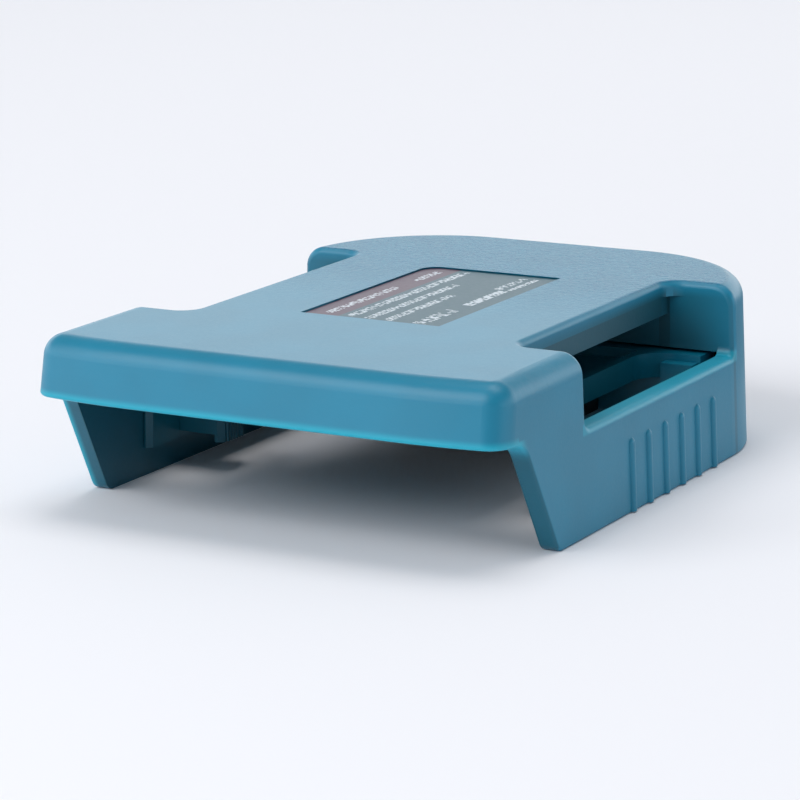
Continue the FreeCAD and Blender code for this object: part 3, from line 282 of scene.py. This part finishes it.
class StudioLook(bpy.types.PropertyGroup):
    floor_color: bpy.props.FloatVectorProperty(
        name="Floor colour", description="Pale floor", subtype="COLOR",
        default=(0.83, 0.88, 0.93), min=0, max=1)
    sweep_color: bpy.props.FloatVectorProperty(
        name="Sweep colour", description="Colour of the floor as the camera sees it", subtype="COLOR",
        default=(0.905, 0.878, 0.893), min=0, max=1)
    backdrop_color: bpy.props.FloatVectorProperty(
        name="Backdrop colour", description="Colour behind the object", subtype="COLOR",
        default=(0.905, 0.93, 0.965), min=0, max=1)
    sweep_glow: bpy.props.FloatProperty(
        name="Sweep glow", description="How much the far floor brightens for the camera", subtype="FACTOR",
        default=0.14, min=0, max=1)
    world_strength: bpy.props.FloatProperty(
        name="World strength", description="Even light from all round", default=0.5, min=0, max=3)
    top_power: bpy.props.FloatProperty(
        name="Top lamp", description="Power of the soft box overhead", unit="POWER",
        default=12.4, min=0, max=500)
    top_place: bpy.props.FloatVectorProperty(
        name="Top lamp's place", description="Middle of the soft box overhead", subtype="TRANSLATION",
        unit="LENGTH", default=(0.08, 0.3, 1.9))
    front_power: bpy.props.FloatProperty(
        name="Front lamp", description="Power of the soft box in front", unit="POWER",
        default=8.8, min=0, max=500)
    front_place: bpy.props.FloatVectorProperty(
        name="Front lamp's place", description="Middle of the soft box in front", subtype="TRANSLATION",
        unit="LENGTH", default=(-0.42, -0.88, 0.78))
    lens: bpy.props.FloatProperty(
        name="Lens", description="Focal length of the camera", unit="CAMERA",
        default=146.19, min=20, max=400)
    distance: bpy.props.FloatProperty(
        name="Distance", description="Camera to the point it looks at", unit="LENGTH",
        default=0.4966, min=0.1, max=5)
    azimuth: bpy.props.FloatProperty(
        name="Azimuth", description="Camera angle round the object", subtype="ANGLE", unit="ROTATION",
        default=math.radians(29.737))
    elevation: bpy.props.FloatProperty(
        name="Elevation", description="Camera angle above the floor", subtype="ANGLE", unit="ROTATION",
        default=math.radians(13.488))
    roll: bpy.props.FloatProperty(
        name="Roll", description="Tilt of the picture", subtype="ANGLE", unit="ROTATION",
        default=math.radians(-0.899))
    aim: bpy.props.FloatVectorProperty(
        name="Aim", description="Point the camera looks at", subtype="TRANSLATION", unit="LENGTH",
        default=(0.000153, -0.009674, 0.012673), precision=6)


def add_grain(finish, look, base, grain_depth, roughness):
    """Fine spark-eroded grain over a base colour, strongest on the far end of the roof."""
    grain = finish.noise(look.grain_size, detail=3.0, roughness=0.6)
    pits = finish.noise(look.grain_size * 2.6, detail=2.0)
    on_roof = finish.z.soft(ROOF_TOP - 0.3 * MM, ROOF_TOP - 0.05 * MM) * finish.y.soft(-20 * MM, 30 * MM)
    speck = grain.soft(0.48, 0.6, 0.0, 0.75) * on_roof
    base = finish.mix(speck, base, color(look.speck_color))
    return finish.set(
        Base_Color=base,
        Roughness=roughness + (grain - 0.5) * 0.12,
        Normal=finish.bump((grain * 0.7 + pits) * (on_roof * 7 + 0.4), grain_depth),
        IOR=1.55,
    )


class ShellShape:
    """The shell's walls in metres, for finishes that change along them."""

    WALL = 2.9 * MM
    ROOF_WALL = 2.4 * MM
    # The flanks lean in by this share of their height, from half the width over the skirts at the foot.
    DRAFT = 0.035
    HALF_FOOT = 40.0 * MM
    # Heights of the nose's lower edge and of the slots' lower rim.
    SILL = 18.0 * MM
    RIM = 15.75 * MM
    # Half the width of the roof between the slots, and where the slots start and end.
    BRIDGE = 27.8 * MM
    SLOT_START = -24.4 * MM
    SLOT_END = 27.5 * MM
    # The legs' fronts are cut on a slant: forward by this share of the height, from this place at the foot.
    SLANT = 0.515
    SLANT_FOOT = -34.6 * MM
    # Back of the nose's lip, the bend where the legs meet it, and the slots' rims from their inner side.
    LIP_BACK = -45.5 * MM
    BEND_FRONT, BEND_BACK = -48 * MM, -46.5 * MM
    RIM_SIDE = 36.5 * MM
    RIM_START = -26 * MM

    def __init__(self, finish):
        self.roof = ROOF_TOP - self.ROOF_WALL
        self.side = abs(finish.x)
        self.depth = finish.z * -self.DRAFT + self.HALF_FOOT - self.side
        self.inside = self.depth.soft(self.WALL - 0.3 * MM, self.WALL - 0.1 * MM)
        self.slant = finish.y + finish.z * self.SLANT - self.SLANT_FOOT
        near_cut = abs(self.slant).soft(0.15 * MM, 0.5 * MM, 1.0, 0.0)
        self.leg_front = near_cut * finish.z.soft(self.SILL - 2.5 * MM, self.SILL - 1 * MM, 1.0, 0.0)


def shade_inside(finish, at, base, look):
    """Paints shade on the faces turned inwards: under the roof, on the slots' end walls and on the roof's
    side faces beside the slots.
    """
    dark = color(look.inner_shade_color)
    # Painted shade under the roof.
    under = at.inside * finish.z.soft(at.roof - 0.1 * MM, at.roof + 0.1 * MM, 1.0, 0.0)
    under = under * finish.y.between(NOSE + at.WALL, at.SLOT_END - 2.3 * MM)
    base = finish.mix(under * 0.75, base, dark)
    below = finish.z.soft(ROOF_TOP - 2.5 * MM, ROOF_TOP - 0.8 * MM, 1.0, 0.0)
    # Painted shade on the slots' end walls.
    end_wall = finish.y.between(at.SLOT_END - 0.6 * MM, at.SLOT_END + 0.4 * MM) * below
    end_wall = end_wall * at.side.soft(31 * MM, 38.5 * MM, 0.9, 0.5)
    end_wall = end_wall * finish.z.soft(at.RIM, at.roof + 1.5 * MM, 0.9, 0.6)
    base = finish.mix(end_wall, base, dark)
    # Painted shade on the roof's side faces beside the slots, deeper towards the far end.
    roof_side = at.side.between(at.BRIDGE - 1.5 * MM, at.BRIDGE + 0.4 * MM) * below
    roof_side = roof_side * finish.y.soft(-12 * MM, 24 * MM, 0.35, 0.85)
    roof_side = roof_side * finish.y.between(at.SLOT_START, at.SLOT_END + 1 * MM)
    return finish.mix(roof_side, base, dark)


def light_through(finish, at):
    """Where a glow is painted: the nose's lip, the left leg's edge, the slots' rims and the bend, standing in
    for light that comes through thin edges and catches on their rounded corners.
    """
    lip = finish.z.soft(at.SILL + 0.2 * MM, at.SILL + 1.5 * MM, 1.0, 0.0)
    lip = lip * (finish.y < at.LIP_BACK) * (finish.z > at.SILL - 1.2 * MM)
    left_edge = at.depth.soft(0.2 * MM, 1.5 * MM, 1.0, 0.0) * (finish.x < 0) * at.leg_front
    slot_rim = abs(finish.z - at.RIM).soft(0.5 * MM, 1.1 * MM, 0.5, 0.0) * (at.side > at.RIM_SIDE)
    slot_rim = slot_rim * finish.y.between(at.RIM_START, at.SLOT_END + 1 * MM)
    bend = finish.z.soft(at.SILL - 3.5 * MM, at.SILL - 0.6 * MM)
    bend = bend * finish.z.soft(at.SILL + 0.3 * MM, at.SILL + 0.8 * MM, 1.0, 0.0)
    bend = bend * at.slant.soft(-1.5 * MM, 0.9 * MM, 1.0, 0.0) * finish.y.soft(at.BEND_FRONT, at.BEND_BACK)
    return lip.larger(left_edge).larger(slot_rim).larger(bend)


def shell_base(finish, look):
    """Teal with painted shade on the faces turned inwards and on the legs' slanted fronts, and a painted glow
    where light comes through thin edges.
    """
    at = ShellShape(finish)
    cloud = finish.noise(12 * MM)
    base = finish.mix(cloud.soft(0.3, 0.7), color(look.shell_color, 0.96), color(look.shell_color, 1.04))
    base = shade_inside(finish, at, base, look)
    # Painted shade on the legs' slanted fronts.
    base = finish.mix(at.leg_front * 0.78, base, color(look.leg_shade_color))
    # Painted glow along the thin edges.
    return finish.mix(light_through(finish, at) * look.edge_glow, base, color(look.glow_color))


def frame_base(finish, look):
    """Teal of the lower moulding, painted dark as shade on the tray and elsewhere inside, and painted lighter
    on the band behind the slots, where light falls through them.
    """
    band = finish.y.soft(12 * MM, 24 * MM) * abs(finish.x).soft(24 * MM, 29 * MM, 0.35, 1.0)
    return finish.mix(band, color(look.frame_shade_color), color(look.band_lit_color))


def plain_plastic(name, tint, roughness, grain=0.02 * MM):
    """Small moulded part with a faint grain."""
    finish = Finish(name)
    noise = finish.noise(0.3 * MM)
    cloud = finish.noise(4 * MM)
    base = finish.mix(cloud.soft(0.3, 0.7), color(tint, 0.9), color(tint, 1.1))
    return finish.set(Base_Color=base, Roughness=roughness + (noise - 0.5) * 0.15,
                      Normal=finish.bump(noise, grain), IOR=1.5)


def drawn_metal(name, tint, roughness, stretch=(1.0, 12.0, 1.0)):
    """Metal with fine marks along its drawing direction."""
    finish = Finish(name)
    along = finish.node("ShaderNodeMapping", None, {"Vector": finish.place, "Scale": stretch})
    marks = finish.noise(0.9 * MM, detail=4.0, at=along)
    stain = finish.noise(3 * MM)
    base = finish.mix(stain.soft(0.35, 0.75), color(tint), color(tint, 0.86))
    return finish.set(Base_Color=base, Metallic=1.0, Roughness=roughness + (marks - 0.5) * 0.25,
                      Normal=finish.bump(marks, 0.008 * MM))


class ADAPTER_OT_mouldings(bpy.types.Operator):
    """Finish the two moulded halves of the housing"""
    bl_idname = "adapter.mouldings"
    bl_label = "Finish the mouldings"

    def execute(self, context):
        look = context.scene.adapter_housing
        shell = Finish("shell_teal")
        add_grain(shell, look, shell_base(shell, look), look.grain_depth, look.roughness)
        shell.set(Specular_Tint=color(look.gloss_tint), Sheen_Weight=look.sheen, Sheen_Roughness=0.4,
                  Sheen_Tint=color((0.9, 0.96, 1.0)))
        paint("upper_housing", shell.material)
        lower = Finish("frame_teal")
        add_grain(lower, look, frame_base(lower, look), look.grain_depth * 0.4, look.roughness - 0.06)
        lower.set(Specular_Tint=color(look.gloss_tint))
        paint("rail_frame", lower.material)
        return {"FINISHED"}


# A row of plain marks, in shares of the label's width and length, with the marks in a full length.
LabelRow = namedtuple("LabelRow", "middle half start end marks fill")
LABEL_ROWS = (
    LabelRow(middle=0.14, half=0.032, start=0.06, end=0.93, marks=150, fill=0.5),
    LabelRow(middle=0.32, half=0.034, start=0.04, end=0.97, marks=150, fill=0.46),
    LabelRow(middle=0.46, half=0.032, start=0.03, end=0.73, marks=150, fill=0.46),
    LabelRow(middle=0.60, half=0.032, start=0.03, end=0.54, marks=150, fill=0.46),
    LabelRow(middle=0.83, half=0.05, start=0.03, end=0.30, marks=120, fill=0.3),
    LabelRow(middle=0.84, half=0.036, start=0.34, end=0.70, marks=110, fill=0.75),
    LabelRow(middle=0.78, half=0.03, start=0.72, end=0.95, marks=150, fill=0.4),
    LabelRow(middle=0.87, half=0.02, start=0.72, end=0.95, marks=150, fill=0.6),
)
MARKS_IN_GROUP = 22
STRIP_SHARE = 0.25


def row_marks(finish, row, number, across, along):
    """Random cells, four high, in groups with gaps between them, which spell nothing."""
    group = (along * (row.marks / MARKS_IN_GROUP)).floor() + number * 11
    step = (along * row.marks).floor() + number * 37
    level = ((across - row.middle) * (2.0 / row.half)).floor()
    ink = finish.chance(step, level) > 1 - row.fill
    inside = across.between(row.middle - row.half, row.middle + row.half)
    inside = inside * along.between(row.start, row.end)
    return inside * ink * (finish.chance(group) > 0.1)


class ADAPTER_OT_label(bpy.types.Operator):
    """Finish the label film with a strip and rows of plain marks"""
    bl_idname = "adapter.label"
    bl_label = "Finish the label"

    def execute(self, context):
        look = context.scene.adapter_label
        low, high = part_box("label_film")
        finish = Finish("label_print")
        across = (finish.x - low.x) / (high.x - low.x)
        along = (finish.y - low.y) / (high.y - low.y)
        strip = across.between(0.0, STRIP_SHARE)
        # The film's ground carries a painted bluish reflection.
        base = finish.mix(strip, color(look.film_and_reflection_color), color(look.strip_color))
        rows = [row_marks(finish, row, number, across, along) for number, row in enumerate(LABEL_ROWS)]
        marks = rows[0]
        for row in rows[1:]:
            marks = marks.larger(row)
        base = finish.mix(marks * 0.8, base, color(look.mark_color))
        wear = finish.noise(0.6 * MM, detail=3.0)
        paint("label_film", finish.set(
            Base_Color=base, Roughness=0.42 + (wear - 0.5) * 0.1,
            Normal=finish.bump(wear, 0.008 * MM), IOR=1.3))
        return {"FINISHED"}


class ADAPTER_OT_contacts(bpy.types.Operator):
    """Finish the terminal block, the blades and their leads"""
    bl_idname = "adapter.contacts"
    bl_label = "Finish the battery contacts"

    def execute(self, context):
        paint("terminal_block", plain_plastic("block_black", (0.012, 0.012, 0.014), 0.55))
        tinned = drawn_metal("blade_tinned", (0.76, 0.72, 0.62), 0.32)
        for node in ("positive_blade", "negative_blade"):
            paint(node, tinned)
        paint("positive_lead", plain_plastic("lead_red", (0.42, 0.02, 0.015), 0.5))
        paint("negative_lead", plain_plastic("lead_black", (0.015, 0.015, 0.017), 0.5))
        return {"FINISHED"}


def board_resist():
    """Solder resist over square-cornered copper tracks."""
    finish = Finish("board_resist")
    cells_per_metre = 420.0
    cells = finish.node("ShaderNodeTexVoronoi", {"feature": "DISTANCE_TO_EDGE", "distance": "CHEBYCHEV"},
                        {"Vector": finish.place, "Scale": cells_per_metre})
    track = cells.soft(0.02, 0.07, 1.0, 0.0)
    base = finish.mix(track, color((0.006, 0.075, 0.03)), color((0.012, 0.13, 0.05)))
    return finish.set(Base_Color=base, Roughness=0.3 + track * 0.1, Normal=finish.bump(track, 0.03 * MM))


def sleeved_can(node):
    """Aluminium can in a dark sleeve that leaves its top bare."""
    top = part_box(node)[1].z
    finish = Finish(node + "_can")
    sleeve = finish.z.soft(top - 0.6 * MM, top - 0.4 * MM, 1.0, 0.0)
    base = finish.mix(sleeve, color((0.7, 0.7, 0.72)), color((0.01, 0.012, 0.02)))
    return finish.set(Base_Color=base, Metallic=1 - sleeve, Roughness=0.3 + sleeve * 0.15)


def capped_ceramic():
    """Pale ceramic between two metal end caps."""
    low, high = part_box("fuse")
    finish = Finish("fuse_ceramic")
    cap = abs(finish.x - (low.x + high.x) / 2).soft(1.9 * MM, 2.0 * MM)
    base = finish.mix(cap, color((0.7, 0.66, 0.55)), color((0.65, 0.65, 0.64)))
    return finish.set(Base_Color=base, Metallic=cap, Roughness=0.4)


class ADAPTER_OT_board(bpy.types.Operator):
    """Finish the circuit board and the parts on it"""
    bl_idname = "adapter.board"
    bl_label = "Finish the circuit board"

    def execute(self, context):
        paint("main_board", board_resist())
        paint("power_inductor", plain_plastic("ferrite_grey", (0.03, 0.03, 0.032), 0.6))
        paint("converter_chips", plain_plastic("chip_black", (0.01, 0.01, 0.011), 0.45))
        for node in ("input_capacitor", "output_capacitors"):
            paint(node, sleeved_can(node))
        paint("fuse", capped_ceramic())
        paint("status_led", plain_plastic("led_white", (0.8, 0.78, 0.55), 0.3))
        return {"FINISHED"}


def contact_strips(tongue, count, on_top, reach):
    """Flat strips side by side on one face of a tongue, up to its open end."""
    low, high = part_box(tongue)
    face = high.z if on_top else low.z
    pitch = (high.x - low.x) / count
    half_width, half_thickness = pitch * 0.22, 0.08 * MM
    bm = bmesh.new()
    for number in range(count):
        middle = low.x + pitch * (number + 0.5)
        add_block(bm, (middle - half_width, high.y - reach, face - half_thickness),
                  (middle + half_width, high.y - 0.4 * MM, face + half_thickness), 0.03 * MM)
    return bm


class ADAPTER_OT_outlets(bpy.types.Operator):
    """Finish the outlet end: bezel, sleeves, button and light pipe, with the outlets' contacts"""
    bl_idname = "adapter.outlets"
    bl_label = "Finish the outlets"

    def execute(self, context):
        steel = drawn_metal("outlet_steel", (0.72, 0.72, 0.73), 0.24)
        gilt = drawn_metal("contact_gilt", (0.86, 0.62, 0.25), 0.25)
        for node in ("large_outlet_shell", "small_outlet_shell"):
            paint(node, steel)
        paint("large_outlet_tongue", plain_plastic("tongue_white", (0.78, 0.78, 0.75), 0.35))
        paint("small_outlet_tongue", plain_plastic("tongue_black", (0.015, 0.015, 0.016), 0.35))
        paint("port_bezel", plain_plastic("bezel_black", (0.012, 0.012, 0.014), 0.5, grain=0.03 * MM))
        paint("switch_body", plain_plastic("switch_black", (0.015, 0.015, 0.016), 0.5))
        paint("switch_plunger", plain_plastic("plunger_white", (0.7, 0.7, 0.68), 0.4))
        paint("button_cap", plain_plastic("button_grey", (0.26, 0.28, 0.29), 0.45))
        clear = Finish("pipe_clear")
        paint("light_pipe", clear.set(
            Base_Color=color((0.85, 0.9, 0.92)), Roughness=0.15 + clear.noise(1 * MM) * 0.1, IOR=1.49,
            Transmission_Weight=0.6))
        large = contact_strips("large_outlet_tongue", count=4, on_top=False, reach=8.5 * MM)
        add_piece("large_outlet_contacts", large, gilt, "adapter")
        small = contact_strips("small_outlet_tongue", count=9, on_top=True, reach=4 * MM)
        add_piece("small_outlet_contacts", small, gilt, "adapter")
        return {"FINISHED"}


class ADAPTER_OT_screws(bpy.types.Operator):
    """Finish the screws"""
    bl_idname = "adapter.screws"
    bl_label = "Finish the screws"

    def execute(self, context):
        plated = drawn_metal("screw_plated", (0.58, 0.58, 0.57), 0.34, (1.0, 1.0, 1.0))
        for node in ("housing_screws", "small_screws"):
            paint(node, plated)
        return {"FINISHED"}


def camera_place(look):
    """Camera matrix from its angles, distance and aim."""
    azimuth, elevation, roll = look.azimuth, look.elevation, look.roll
    flat = math.cos(elevation)
    back = Vector((math.sin(azimuth) * flat, -math.cos(azimuth) * flat, math.sin(elevation)))
    right = Vector((math.cos(azimuth), math.sin(azimuth), 0))
    up = back.cross(right)
    turned_right = right * math.cos(roll) + up * math.sin(roll)
    turned_up = up * math.cos(roll) - right * math.sin(roll)
    matrix = Matrix((turned_right, turned_up, back)).transposed().to_4x4()
    matrix.translation = Vector(look.aim) + back * look.distance
    return matrix


def add_camera(scene, look):
    """Camera that takes the picture."""
    data = bpy.data.cameras.new("studio_camera")
    data.sensor_width = 36
    data.lens = look.lens
    data.clip_start, data.clip_end = 0.01, 50
    camera = bpy.data.objects.new("studio_camera", data)
    scene.collection.objects.link(camera)
    camera.matrix_world = camera_place(look)
    scene.camera = camera


def add_lamp(name, place, aim, size, power, tint):
    """Soft box that faces a point."""
    lamp = bpy.data.lights.new(name, "AREA")
    lamp.shape = "RECTANGLE"
    lamp.size, lamp.size_y = size
    lamp.energy = power
    lamp.color = tint
    holder = bpy.data.objects.new(name, lamp)
    bpy.context.scene.collection.objects.link(holder)
    place, aim = Vector(place), Vector(aim)
    turn = (aim - place).to_track_quat("-Z", "Y").to_matrix().to_4x4()
    holder.matrix_world = Matrix.Translation(place) @ turn


def floor_paper(look):
    """Pale paper: the camera sees its own even colour, and the gloss a dim one behind the object."""
    finish = Finish("floor_paper")
    seen = finish.ray("Is Camera Ray")
    glow = seen * finish.y.soft(-0.12, 0.7, 0.0, look.sweep_glow)
    mirrored = finish.ray("Is Glossy Ray") * finish.y.soft(0.07, 0.11)
    paper = finish.mix(mirrored * 0.8, color(look.floor_color), color((0.02, 0.03, 0.04)))
    return finish.set(
        Base_Color=finish.mix(seen, paper, color(look.sweep_color)), Roughness=0.8, Specular_IOR_Level=0.2,
        Emission_Color=finish.mix(glow, color((0, 0, 0)), color(look.sweep_color)), Emission_Strength=1.0)


def lay_floor(scene, look):
    """Wide sheet under the object."""
    mesh = bpy.data.meshes.new("studio_floor")
    bm = bmesh.new()
    bmesh.ops.create_grid(bm, x_segments=1, y_segments=1, size=6)
    bm.to_mesh(mesh)
    bm.free()
    mesh.materials.append(floor_paper(look))
    floor = bpy.data.objects.new("studio_floor", mesh)
    scene.collection.objects.link(floor)


def light_world(scene, look):
    """Even light from all round; the gloss sees a pale sweep low down and a dim room behind the camera."""
    world = bpy.data.worlds.new("studio_world")
    scene.world = world
    world.use_nodes = True
    sky = Nodes(world.node_tree)
    toward = sky.node("ShaderNodeTexCoord", output="Generated")
    to_camera = sky.dot(toward, (math.sin(look.azimuth), -math.cos(look.azimuth), 0.1))
    height = sky.dot(toward, (0, 0, 1))
    room = to_camera.soft(0.55, 0.95, 1.0, 0.05) * height.soft(0.28, 0.5, 2.6, 0.2)

    def shine(tint, strength):
        return sky.node("ShaderNodeEmission", None, {"Color": tint, "Strength": strength})

    def choose(ray, other, chosen):
        return sky.node("ShaderNodeMixShader", None, (sky.ray(ray), other, chosen))

    backdrop = color(look.backdrop_color)
    even = shine(color((0.8, 0.9, 1.0)), look.world_strength)
    unseen = choose("Is Glossy Ray", even, shine(backdrop, room))
    light = choose("Is Camera Ray", unseen, shine(backdrop, 1.0))
    sky.feed(sky.tree.nodes["World Output"].inputs["Surface"], light)


class ADAPTER_OT_studio(bpy.types.Operator):
    """Set up the floor, the backdrop, the lamps and the camera"""
    bl_idname = "adapter.studio"
    bl_label = "Set up the studio"

    def execute(self, context):
        scene = context.scene
        look = scene.adapter_studio
        lay_floor(scene, look)
        light_world(scene, look)
        warm, cool = (1.0, 0.985, 0.965), (0.96, 0.98, 1.0)
        add_lamp("top_box", look.top_place, (0, 0, 0), (1.3, 1.0), look.top_power, warm)
        add_lamp("front_box", look.front_place, (0, 0, 0.01), (1.0, 0.7), look.front_power, cool)
        add_camera(scene, look)
        scene.view_settings.view_transform = "Standard"
        return {"FINISHED"}


OPERATORS = (
    ADAPTER_OT_mouldings, ADAPTER_OT_label, ADAPTER_OT_contacts, ADAPTER_OT_board,
    ADAPTER_OT_outlets, ADAPTER_OT_screws, ADAPTER_OT_studio,
)


class ADAPTER_PT_tools(bpy.types.Panel):
    """Lists the adapter's operators"""
    bl_label = "Battery adapter"
    bl_idname = "ADAPTER_PT_tools"
    bl_space_type = "VIEW_3D"
    bl_region_type = "UI"
    bl_category = "Adapter"

    def draw(self, context):
        for operator in OPERATORS:
            self.layout.operator(operator.bl_idname)


LOOKS = {"adapter_housing": HousingLook, "adapter_label": LabelLook, "adapter_studio": StudioLook}


def register():
    for cls in (*LOOKS.values(), *OPERATORS, ADAPTER_PT_tools):
        bpy.utils.register_class(cls)
    for name, cls in LOOKS.items():
        setattr(bpy.types.Scene, name, bpy.props.PointerProperty(type=cls))


def unregister():
    for name in LOOKS:
        delattr(bpy.types.Scene, name)
    for cls in reversed((*LOOKS.values(), *OPERATORS, ADAPTER_PT_tools)):
        bpy.utils.unregister_class(cls)


def main():
    register()
    bpy.ops.adapter.mouldings()
    bpy.ops.adapter.label()
    bpy.ops.adapter.contacts()
    bpy.ops.adapter.board()
    bpy.ops.adapter.outlets()
    bpy.ops.adapter.screws()
    bpy.ops.adapter.studio()


if __name__ == "__main__":
    main()
